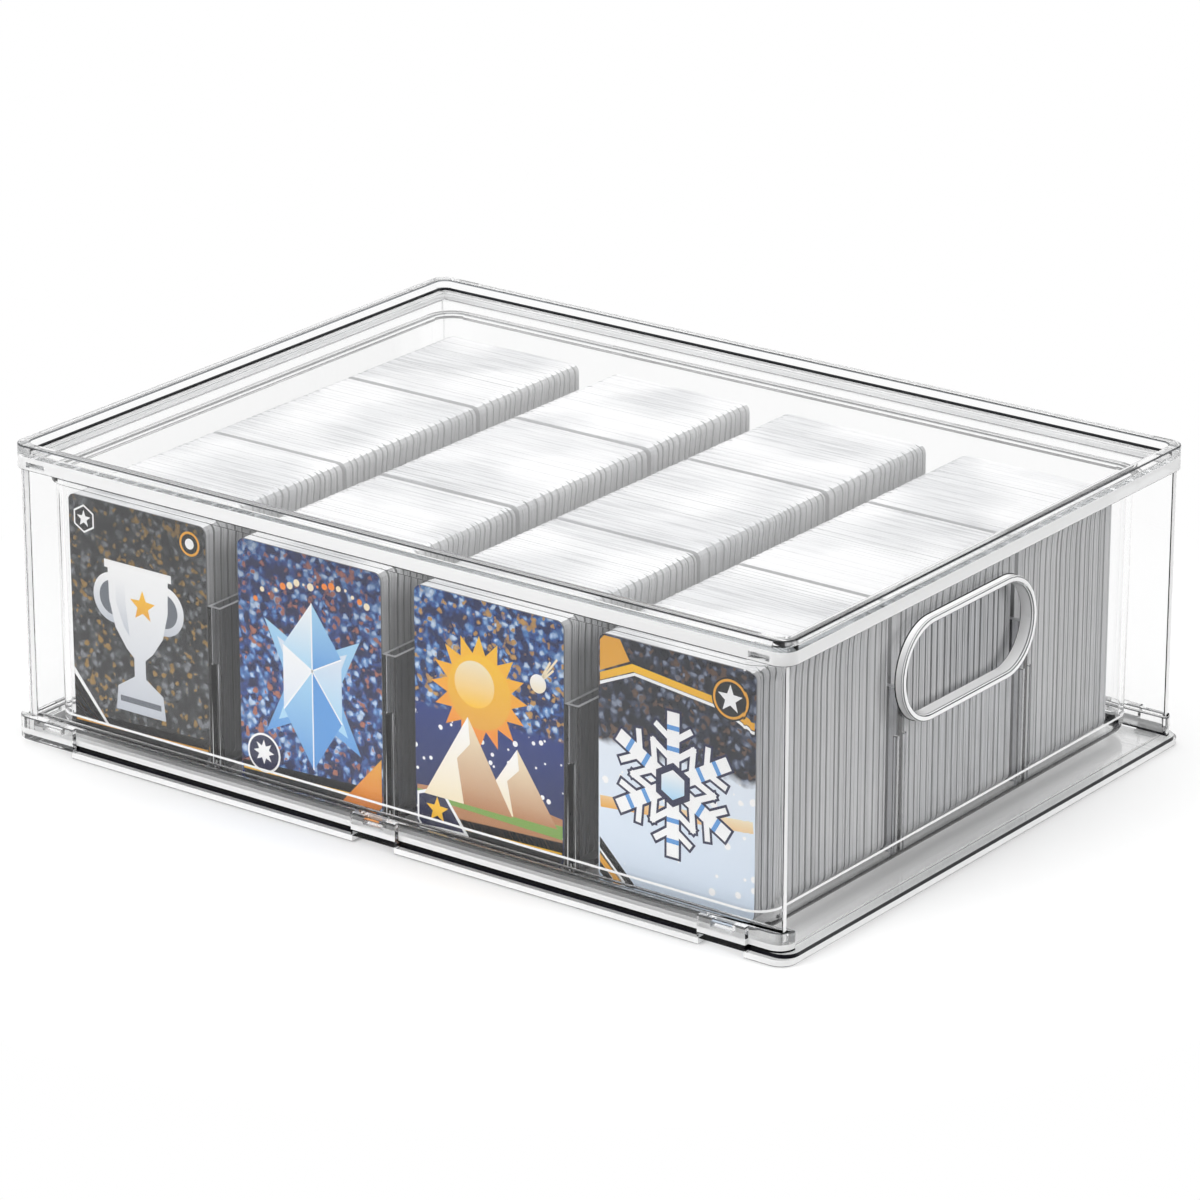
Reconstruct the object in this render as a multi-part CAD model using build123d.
# Clear plastic storage box for trading cards: a casing of five snapped pieces that is open
# at one end, and a drawer in it that holds twelve stacks of cards between dividers.
# Millimetres. +Z is up, the drawer pulls out towards -Y, and the origin is the middle of
# the box's footprint on the surface that it stands on.

from build123d import *
import os

os.makedirs("parts", exist_ok=True)

# Playing faces and stacks of the cards
CARD_W = 63.5
CARD_H = 88.9
CARD_T = 0.8
CARD_CORNER = 3.0
COLUMN_END_ROOM = 5.15       # from the drawer's inner end walls to the outer columns
LEAST_COLUMN_GAP = 13.0      # the least room for a cross board and a finger between columns
CARD_FACE_INSET = 10.3       # from the side panel's outer face to the front cards' faces
LAST_CARD_INSET = 15.5       # the same at the far side, to the back of the last card
CARD_GAP = 0.1               # air between a card and what it stands on or leans against

# Casing, measured over the side panels and the back panel
CASING_W = 243.0
CASING_L = 330.0
CASING_H = 114.0
PANEL_T = 2.5
FIT_GAP = 0.1                # between a panel and the channel that holds it
CHANNEL_WALL = 1.8
CORNER_R = 6.0

# Base tray
BASE_LEDGE = 4.0             # how far the base stands out beyond the panels
BASE_FRONT_LEDGE = 4.0
BASE_H = 11.0
FOOT_H = 2.5
FOOT_W = 6.0
FOOT_TUCK = 0.5              # the foot rails run this far under the bosses' ends
DECK_T = 1.5
BASE_WALL = 2.0
BOSS_L = 19.5
BOSS_FRONT_INSET = 22.0      # from the casing's open end to the middle of the first boss
BOSS_BACK_INSET = 14.0       # from its back to the middle of the last
BOSSES = 3

# Snap tabs on the panels' edges and the windows that take them
TAB_L = 8.0
TAB_H = 1.4
TAB_PROUD = 1.2
TAB_GAP = 0.3
TAB_EDGE = 1.2               # material between a window and the edge of its wall
LID_TAB_INSET = 9.0          # from the end of a panel to the middle of its corner tab

# Lid
LID_LEDGE = 2.5
LID_T = 2.5
LID_RIM_H = 3.8              # the rim stands this far above the plate
LID_RIM_W = 3.9
LID_SKIRT = 2.7              # the skirt hangs this far below the plate

# Drawer
DRAWER_SIDE_GAP = 3.5        # between the drawer's wall and a panel
DRAWER_FRONT_INSET = 10.0    # from the casing's open end to the drawer's front wall
DRAWER_BACK_GAP = 4.0
DRAWER_TOP_GAP = 5.2
DRAWER_LIFT = 0.2            # sliding clearance over the deck
DRAWER_WALL = 2.2
DRAWER_FLOOR = 2.7
DRAWER_DRAFT = 0.5           # each wall leans in by this much from top to bottom
DRAWER_CORNER = 10.0
DRAWER_BELLY_R = 6.0
FLOOR_FILLET = 1.4
RIM_OUT = 1.5
RIM_H = 2.4

# Handle collar in the drawer's front wall
HANDLE_W = 84.0
HANDLE_H = 37.5
HANDLE_WALL = 2.6
HANDLE_PROUD = 3.2
HANDLE_DROP = 30.4           # from the drawer's top edge to the middle of the handle
HANDLE_EDGE_R = 0.9

# Dividers
DIVIDER_H = 60.4
DIVIDER_END_GAP = 0.3
LAP_GAP = 0.15               # each side of a board in its slot
ROW_BOARD_T = 2.4
ROW_PLACES = [-35.5, 43.0]   # middles of the two long boards
ROW_SPARE = 1.0              # between a long board and the stack beside it
COLUMN_BOX_W = 6.0
COLUMN_BOX_WALL = 1.3
COLUMN_SHIFT = 3.0           # the cross boards stand this far behind the middle of their gap
RIB_T = 2.2
RIB_OUT = 2.5
RIB_H = 39.0
GUIDE_T = 1.2
GUIDE_OUT = 1.6
GUIDE_H = 44.0

# Casing levels and faces that follow from the sizes above
DECK_TOP = FOOT_H + DECK_T
LID_TOP = CASING_H - LID_RIM_H
LID_UNDER = LID_TOP - LID_T
PANEL_BOTTOM = DECK_TOP + FIT_GAP
PANEL_TOP = LID_UNDER - FIT_GAP
PANEL_OUT = CASING_W / 2
PANEL_IN = PANEL_OUT - PANEL_T
BACK_OUT = CASING_L / 2
BACK_IN = BACK_OUT - PANEL_T
FRONT_END = -CASING_L / 2
BASE_HALF = PANEL_OUT + BASE_LEDGE
BASE_BACK = BACK_OUT + BASE_LEDGE
BASE_FRONT = FRONT_END - BASE_FRONT_LEDGE
WALL_HALF = PANEL_OUT + FIT_GAP + BASE_WALL
WALL_BACK = BACK_OUT + FIT_GAP + BASE_WALL
RAIL_HALF = PANEL_IN - FIT_GAP - CHANNEL_WALL
RAIL_BACK = BACK_IN - FIT_GAP - CHANNEL_WALL
LID_HALF = PANEL_OUT + LID_LEDGE
LID_BACK = BACK_OUT + LID_LEDGE
LID_FRONT = FRONT_END - LID_LEDGE
SKIRT_BOTTOM = LID_UNDER - LID_SKIRT

# Drawer levels and faces
DRAWER_BOTTOM = DECK_TOP + DRAWER_LIFT
DRAWER_TOP = LID_UNDER - DRAWER_TOP_GAP
DRAWER_HALF = PANEL_IN - DRAWER_SIDE_GAP
DRAWER_FRONT = FRONT_END + DRAWER_FRONT_INSET
DRAWER_BACK = BACK_IN - DRAWER_BACK_GAP
FLOOR_TOP = DRAWER_BOTTOM + DRAWER_FLOOR
INNER_HALF = DRAWER_HALF - DRAWER_DRAFT - DRAWER_WALL
INNER_FRONT = DRAWER_FRONT + DRAWER_DRAFT + DRAWER_WALL
INNER_BACK = DRAWER_BACK - DRAWER_DRAFT - DRAWER_WALL
FIRST_COLUMN_Y = INNER_BACK - COLUMN_END_ROOM - CARD_W / 2
COLUMN_SPAN = FIRST_COLUMN_Y - (INNER_FRONT + COLUMN_END_ROOM + CARD_W / 2)
COLUMNS = 1 + int(COLUMN_SPAN / (CARD_W + LEAST_COLUMN_GAP))
COLUMN_PITCH = COLUMN_SPAN / (COLUMNS - 1)
CARD_BOTTOM = FLOOR_TOP + CARD_GAP
CARD_FACE_X = -PANEL_OUT + CARD_FACE_INSET
LAST_CARD_X = PANEL_OUT - LAST_CARD_INSET
DIVIDER_BOTTOM = FLOOR_TOP + DIVIDER_END_GAP
DIVIDER_TOP = DIVIDER_BOTTOM + DIVIDER_H
LAP_LEVEL = (DIVIDER_BOTTOM + DIVIDER_TOP) / 2
HANDLE_Z = DRAWER_TOP - HANDLE_DROP
COLUMN_YS = [FIRST_COLUMN_Y - i * COLUMN_PITCH for i in range(COLUMNS)]
GAP_YS = [(a + b) / 2 + COLUMN_SHIFT for a, b in zip(COLUMN_YS, COLUMN_YS[1:])]
FIRST_BOSS_Y = FRONT_END + BOSS_FRONT_INSET
BOSS_PITCH = (BACK_OUT - BOSS_BACK_INSET - FIRST_BOSS_Y) / (BOSSES - 1)
BOSS_YS = [FIRST_BOSS_Y + i * BOSS_PITCH for i in range(BOSSES)]
LID_TAB_YS = [FRONT_END + LID_TAB_INSET, BACK_OUT - LID_TAB_INSET]
BACK_TAB_XS = [-PANEL_IN + LID_TAB_INSET, PANEL_IN - LID_TAB_INSET]
BASE_TAB_Z = BASE_H - TAB_EDGE - TAB_GAP - TAB_H / 2
LID_TAB_Z = SKIRT_BOTTOM + TAB_EDGE + TAB_GAP + TAB_H / 2
REACH = 1.0                  # how far a cutter runs past the face that it cuts


def block(x0, x1, y0, y1, z0, z1):
    """A box between two corners."""
    return Pos((x0 + x1) / 2, (y0 + y1) / 2, (z0 + z1) / 2) * Box(x1 - x0, y1 - y0, z1 - z0)


def rounded_slab(half, y0, y1, radius, z0, z1):
    """An upright slab, symmetric in X, with round corners in plan."""
    plan = RectangleRounded(2 * half, y1 - y0, radius)
    return extrude(Pos(0, (y0 + y1) / 2, z0) * plan, z1 - z0)


def tapered_slab(half, y0, y1, radius, lean, z0, z1):
    """A slab whose walls lean in by lean from its top to its bottom."""
    middle = (y0 + y1) / 2
    low = RectangleRounded(2 * (half - lean), y1 - y0 - 2 * lean, radius - lean)
    high = RectangleRounded(2 * half, y1 - y0, radius)
    return loft([Pos(0, middle, z0) * low, Pos(0, middle, z1) * high])


def side_tabs(side, ys, z, grow=0.0, depth=TAB_PROUD):
    """Snap tabs on a side panel's outer face, or with grow the windows that take them."""
    x0, x1 = sorted((side * (PANEL_OUT - REACH), side * (PANEL_OUT + depth)))
    half_l = TAB_L / 2 + grow
    half_h = TAB_H / 2 + grow
    return [block(x0, x1, y - half_l, y + half_l, z - half_h, z + half_h) for y in ys]


def back_tabs(z, grow=0.0, depth=TAB_PROUD):
    """The same on the back panel."""
    half_l = TAB_L / 2 + grow
    half_h = TAB_H / 2 + grow
    return [block(x - half_l, x + half_l, BACK_OUT - REACH, BACK_OUT + depth, z - half_h, z + half_h)
            for x in BACK_TAB_XS]


def tab_blocks(ys, z, grow, depth):
    """The tabs or windows of all three panels at one height."""
    return side_tabs(-1, ys, z, grow, depth) + side_tabs(1, ys, z, grow, depth) + back_tabs(z, grow, depth)


def channel_plans():
    """Plan boxes (x0, x1, y0, y1) of the channels that the three panels stand in."""
    far = PANEL_OUT + FIT_GAP
    near = PANEL_IN - FIT_GAP
    y0, y1 = FRONT_END - FIT_GAP, BACK_OUT + FIT_GAP
    return [(-far, -near, y0, y1), (near, far, y0, y1), (-far, far, BACK_IN - FIT_GAP, y1)]


def boss_spans():
    """Where the bosses start and end in Y: the last pair runs on round the back corners."""
    spans = [(y - BOSS_L / 2, y + BOSS_L / 2) for y in BOSS_YS]
    return spans[:-1] + [(spans[-1][0], BASE_BACK + REACH)]


def side_strips(depth, z0, z1, tuck=0.0):
    """Blocks of that depth from the tray's long edges inwards, one at each boss, shorter by tuck at each end."""
    strips = []
    for side in (-1, 1):
        x0, x1 = sorted((side * (BASE_HALF - depth), side * (BASE_HALF + REACH)))
        strips += [block(x0, x1, y0 + tuck, y1 - tuck, z0, z1) for y0, y1 in boss_spans()]
    return strips


def base_tray():
    """Deck, walls with a channel for the panels, bosses, and foot rails under the edge."""
    wall_front = FRONT_END - FIT_GAP - BASE_WALL
    above = BASE_H + REACH
    tray = rounded_slab(WALL_HALF, BASE_FRONT, WALL_BACK, CORNER_R, FOOT_H, DECK_TOP)
    tray += rounded_slab(WALL_HALF, wall_front, WALL_BACK, CORNER_R, FOOT_H, BASE_H)
    proud = rounded_slab(BASE_HALF, BASE_FRONT, BASE_BACK, CORNER_R, FOOT_H, BASE_H)
    for strip in side_strips(BASE_LEDGE, FOOT_H, BASE_H):
        tray += proud & strip
    tray -= block(-RAIL_HALF, RAIL_HALF, BASE_FRONT - REACH, RAIL_BACK, DECK_TOP, above)
    for x0, x1, y0, y1 in channel_plans():
        tray -= block(x0, x1, y0, y1, DECK_TOP, above)
    feet = rounded_slab(BASE_HALF, BASE_FRONT, BASE_BACK, CORNER_R, 0, FOOT_H)
    feet -= block(-BASE_HALF + FOOT_W, BASE_HALF - FOOT_W, BASE_FRONT + FOOT_W, BASE_BACK - FOOT_W,
                  -REACH, FOOT_H + REACH)
    for strip in side_strips(FOOT_W + REACH, -REACH, FOOT_H, FOOT_TUCK):
        feet -= strip
    tray += feet
    window = BASE_LEDGE + REACH
    for cutter in tab_blocks(BOSS_YS, BASE_TAB_Z, TAB_GAP, window):
        tray -= cutter
    return tray


def top_panel():
    """The lid: a plate with a raised rim, a skirt, and ribs that clasp the panels' tops."""
    below = SKIRT_BOTTOM - REACH
    lid = rounded_slab(LID_HALF, LID_FRONT, LID_BACK, CORNER_R, SKIRT_BOTTOM, CASING_H)
    lid -= rounded_slab(LID_HALF - LID_RIM_W, LID_FRONT + LID_RIM_W, LID_BACK - LID_RIM_W,
                        CORNER_R - LID_RIM_W / 2, LID_TOP, CASING_H + REACH)
    lid -= block(-RAIL_HALF, RAIL_HALF, FRONT_END, RAIL_BACK, below, LID_UNDER)
    for x0, x1, y0, y1 in channel_plans():
        lid -= block(x0, x1, y0, y1, below, LID_UNDER)
    window = LID_LEDGE + REACH
    for cutter in tab_blocks(LID_TAB_YS, LID_TAB_Z, TAB_GAP, window):
        lid -= cutter
    return lid


def side_panel(side):
    """A clear side sheet with three tabs below and two above."""
    x0, x1 = sorted((side * PANEL_IN, side * PANEL_OUT))
    sheet = block(x0, x1, FRONT_END, BACK_OUT, PANEL_BOTTOM, PANEL_TOP)
    for tab in side_tabs(side, BOSS_YS, BASE_TAB_Z) + side_tabs(side, LID_TAB_YS, LID_TAB_Z):
        sheet += tab
    return sheet


def back_panel():
    """The clear back sheet, between the side panels."""
    half = PANEL_IN - FIT_GAP
    sheet = block(-half, half, BACK_IN, BACK_OUT, PANEL_BOTTOM, PANEL_TOP)
    for tab in back_tabs(BASE_TAB_Z) + back_tabs(LID_TAB_Z):
        sheet += tab
    return sheet


def handle_stadium(width, height, y0, y1):
    """A stadium on the front wall, from y0 to y1."""
    plane = Plane(origin=(0, y1, HANDLE_Z), x_dir=(1, 0, 0), z_dir=(0, -1, 0))
    return extrude(plane * SlotOverall(width, height), y1 - y0)


def drawer_bin():
    """The drawer: a bin with a rolled bottom edge, a rim, a handle collar and divider ribs."""
    shell = tapered_slab(DRAWER_HALF, DRAWER_FRONT, DRAWER_BACK, DRAWER_CORNER, DRAWER_DRAFT,
                         DRAWER_BOTTOM, DRAWER_TOP)
    shell = fillet(shell.faces().sort_by(Axis.Z)[0].edges(), DRAWER_BELLY_R)
    shell += rounded_slab(DRAWER_HALF + RIM_OUT, DRAWER_FRONT - RIM_OUT, DRAWER_BACK + RIM_OUT,
                          DRAWER_CORNER + RIM_OUT, DRAWER_TOP - RIM_H, DRAWER_TOP)
    collar = handle_stadium(HANDLE_W, HANDLE_H, DRAWER_FRONT - HANDLE_PROUD, DRAWER_FRONT + DRAWER_WALL)
    collar = fillet(collar.faces().sort_by(Axis.Y)[0].edges(), HANDLE_EDGE_R)
    shell += collar
    hollow = tapered_slab(DRAWER_HALF - DRAWER_WALL, DRAWER_FRONT + DRAWER_WALL, DRAWER_BACK - DRAWER_WALL,
                          DRAWER_CORNER - DRAWER_WALL, DRAWER_DRAFT, FLOOR_TOP, DRAWER_TOP)
    hollow = fillet(hollow.faces().sort_by(Axis.Z)[0].edges(), FLOOR_FILLET)
    shell -= hollow
    finger_hole = handle_stadium(HANDLE_W - 2 * HANDLE_WALL, HANDLE_H - 2 * HANDLE_WALL,
                                 DRAWER_FRONT - HANDLE_PROUD - REACH, INNER_FRONT + REACH)
    shell -= finger_hole
    for y in GAP_YS:
        for side in (-1, 1):
            x0, x1 = sorted((side * (INNER_HALF - RIB_OUT), side * (INNER_HALF + DRAWER_WALL / 2)))
            shell += block(x0, x1, y - RIB_T / 2, y + RIB_T / 2, FLOOR_TOP, DIVIDER_BOTTOM + RIB_H)
    groove = ROW_BOARD_T / 2 + 2 * LAP_GAP
    for x in ROW_PLACES:
        for side in (-1, 1):
            x0, x1 = sorted((x + side * groove, x + side * (groove + GUIDE_T)))
            shell += block(x0, x1, INNER_FRONT - DRAWER_WALL / 2, INNER_FRONT + GUIDE_OUT,
                           FLOOR_TOP, FLOOR_TOP + GUIDE_H)
            shell += block(x0, x1, INNER_BACK - GUIDE_OUT, INNER_BACK + DRAWER_WALL / 2,
                           FLOOR_TOP, FLOOR_TOP + GUIDE_H)
    return shell


def row_divider(x):
    """A long thin board between two rows, slotted from below where it laps the cross boards."""
    board = block(x - ROW_BOARD_T / 2, x + ROW_BOARD_T / 2, INNER_FRONT + DIVIDER_END_GAP,
                  INNER_BACK - DIVIDER_END_GAP, DIVIDER_BOTTOM, DIVIDER_TOP)
    ends = board.edges().filter_by(Axis.X).group_by(Axis.Z)[0]
    board = chamfer(ends, FLOOR_FILLET)
    half = COLUMN_BOX_W / 2 + LAP_GAP
    for y in GAP_YS:
        board -= block(x - ROW_BOARD_T, x + ROW_BOARD_T, y - half, y + half,
                       DIVIDER_BOTTOM - REACH, LAP_LEVEL + LAP_GAP)
    return board


def column_divider(y):
    """A hollow cross board, open on top, with end slots over the drawer's wall ribs."""
    half_l = INNER_HALF - DIVIDER_END_GAP
    half_w = COLUMN_BOX_W / 2
    board = block(-half_l, half_l, y - half_w, y + half_w, DIVIDER_BOTTOM, DIVIDER_TOP)
    board = chamfer(board.edges().filter_by(Axis.Y).group_by(Axis.Z)[0], FLOOR_FILLET)
    inner_l = half_l - COLUMN_BOX_WALL
    inner_w = half_w - COLUMN_BOX_WALL
    board -= block(-inner_l, inner_l, y - inner_w, y + inner_w,
                   DIVIDER_BOTTOM + COLUMN_BOX_WALL + FLOOR_FILLET, DIVIDER_TOP + REACH)
    half_slot = RIB_T / 2 + LAP_GAP
    for side in (-1, 1):
        x0, x1 = sorted((side * (INNER_HALF - RIB_OUT - DIVIDER_END_GAP), side * (half_l + REACH)))
        board -= block(x0, x1, y - half_slot, y + half_slot,
                       DIVIDER_BOTTOM - REACH, DIVIDER_BOTTOM + RIB_H + DIVIDER_END_GAP)
    half_lap = ROW_BOARD_T / 2 + LAP_GAP
    for x in ROW_PLACES:
        board -= block(x - half_lap, x + half_lap, y - COLUMN_BOX_W, y + COLUMN_BOX_W,
                       LAP_LEVEL - LAP_GAP, DIVIDER_TOP + REACH)
    return board


def card_block(x0, x1, y):
    """Cards on edge, their faces towards X, between x0 and x1."""
    plane = Plane(origin=(x0, y, CARD_BOTTOM + CARD_H / 2), x_dir=(0, 1, 0), z_dir=(1, 0, 0))
    return extrude(plane * RectangleRounded(CARD_W, CARD_H, CARD_CORNER), x1 - x0)


def row_spans():
    """Where the stacks of each row start and end in X."""
    room = ROW_BOARD_T / 2 + ROW_SPARE
    starts = [CARD_FACE_X + CARD_T + CARD_GAP] + [x + room for x in ROW_PLACES]
    ends = [x - room for x in ROW_PLACES] + [LAST_CARD_X]
    return list(zip(starts, ends))


pieces = {
    "base_tray": base_tray(),
    "top_panel": top_panel(),
    "left_side_panel": side_panel(-1),
    "right_side_panel": side_panel(1),
    "back_panel": back_panel(),
    "drawer_bin": drawer_bin(),
}
for i, x in enumerate(ROW_PLACES, 1):
    pieces[f"row_divider_{i}"] = row_divider(x)
for i, y in enumerate(GAP_YS, 1):
    pieces[f"column_divider_{i}"] = column_divider(y)
for column, y in enumerate(COLUMN_YS, 1):
    pieces[f"front_card_{column}"] = card_block(CARD_FACE_X, CARD_FACE_X + CARD_T, y)
    for row, (x0, x1) in enumerate(row_spans(), 1):
        pieces[f"card_stack_r{row}_c{column}"] = card_block(x0, x1, y)

for name, shape in pieces.items():
    export_step(shape, f"parts/{name}.step")
